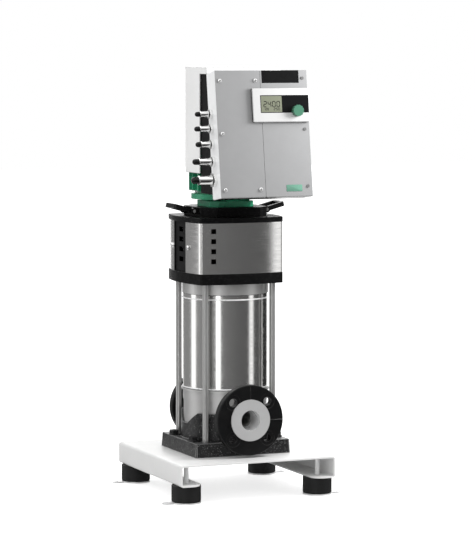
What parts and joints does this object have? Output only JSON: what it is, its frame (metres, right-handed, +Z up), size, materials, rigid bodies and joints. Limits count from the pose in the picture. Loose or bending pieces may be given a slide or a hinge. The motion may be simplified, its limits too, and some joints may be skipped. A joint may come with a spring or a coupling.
{
  "type": "high-pressure centrifugal pump",
  "caption": "Vertical multistage centrifugal pump on a damped floor frame, with in-line flanged ports, a guarded coupling, and a motor that carries a tilted frequency converter.",
  "frame": {"origin": "on the floor, under the pump shaft and in the middle of the four floor holes", "axes": "+Z up along the shaft, -Y out of the front port and the converter's front, -X the cable side"},
  "size_m": [0.408, 0.374, 0.906],
  "materials": {
    "white_paint": "smooth white powder coat",
    "black_cast": "black-coated casting",
    "black_rubber": "matt black rubber",
    "zinc_steel": "zinc-plated steel",
    "stainless": "brushed stainless steel",
    "polished_steel": "polished stainless steel",
    "bearing_bronze": "bronze",
    "seal_carbon": "sintered carbon and carbide",
    "copper": "varnished copper windings",
    "lamination": "electrical steel laminations",
    "green_paint": "satin green paint",
    "black_plastic": "matt black plastic",
    "white_plastic": "matt white plastic",
    "light_grey_paint": "light grey paint on a die casting",
    "grey_paint": "satin grey plastic",
    "black_aluminium": "black-anodised aluminium",
    "black_screw": "black-coated steel",
    "display_black": "gloss black window",
    "lcd_green": "grey-green liquid crystal screen",
    "green_plastic": "satin green plastic",
    "board_green": "printed circuit board with black components",
    "nickel": "nickel-plated brass"
  },
  "bodies": {
    "pump_body": {"base_frame": "white_paint", "damper_rubbers": "black_rubber", "damper_floor_plates": "zinc_steel", "damper_studs": "zinc_steel", "foot_casting": "black_cast", "foot_bolts": "black_screw", "port_bowl": "stainless", "front_flange": "black_cast", "rear_flange": "black_cast", "tie_rods": "stainless", "tie_rod_nuts": "zinc_steel", "outer_sleeve": "stainless", "sleeve_seals": "black_rubber", "casing_head": "stainless", "stage_bowls": "stainless", "stack_spacer": "stainless", "lower_bearing": "seal_carbon", "seal_seat": "seal_carbon", "lantern": "black_cast", "front_guard": "stainless", "rear_guard": "stainless", "side_grilles": "black_aluminium", "guard_screws": "polished_steel", "top_ring": "black_cast", "handle_pins": "polished_steel", "motor_bolts": "zinc_steel", "motor_flange": "green_paint", "motor_studs": "zinc_steel", "motor_frame": "green_paint", "end_shield": "green_paint", "stator_core": "lamination", "stator_windings": "copper", "drive_end_bearing": "polished_steel", "fan_end_bearing": "polished_steel", "fan_hood": "white_plastic", "heat_sink": "black_aluminium", "converter_housing": "light_grey_paint", "left_cover": "grey_paint", "right_cover": "grey_paint", "module_bay_cover": "black_plastic", "cover_screws": "polished_steel", "small_cover_screws": "black_screw", "display_frame": "white_plastic", "display_glass": "display_black", "lcd_screen": "lcd_green", "encoder": "black_plastic", "power_board": "board_green", "gland_bodies": "nickel", "gland_plugs": "black_plastic"},
    "rotor": {"pump_shaft": "polished_steel", "impellers": "stainless", "seal_rotor": "seal_carbon", "coupling_halves": "black_cast", "coupling_screws": "zinc_steel", "motor_rotor": "lamination", "fan": "black_plastic"},
    "knob_shaft": {"knob_shaft": "polished_steel"},
    "knob": {"knob_cap": "green_plastic"},
    "left_handle": {"left_handle": "black_cast"},
    "right_handle": {"right_handle": "black_cast"}
  },
  "joints": [
    {"name": "rotor_spin", "type": "hinge", "parent": "pump_body", "child": "rotor", "pos_m": [0, 0, 0.5], "axis": [0, 0, 1], "continuous": true},
    {"name": "left_handle_swing", "type": "hinge", "parent": "pump_body", "child": "left_handle", "pos_m": [-0.084, 0, 0.602], "axis": [0, 1, 0], "range_deg": [0, 72]},
    {"name": "right_handle_swing", "type": "hinge", "parent": "pump_body", "child": "right_handle", "pos_m": [0.084, 0, 0.602], "axis": [0, -1, 0], "range_deg": [0, 72]},
    {"name": "knob_push", "type": "slide", "parent": "pump_body", "child": "knob_shaft", "axis": [0, 0.9903, -0.1392], "range_m": [0, 0.001], "stiffness_N_per_m": 1500},
    {"name": "knob_turn", "type": "hinge", "parent": "knob_shaft", "child": "knob", "pos_m": [0.093, -0.16828, 0.81561], "axis": [0, 0.9903, -0.1392], "continuous": true}
  ]
}
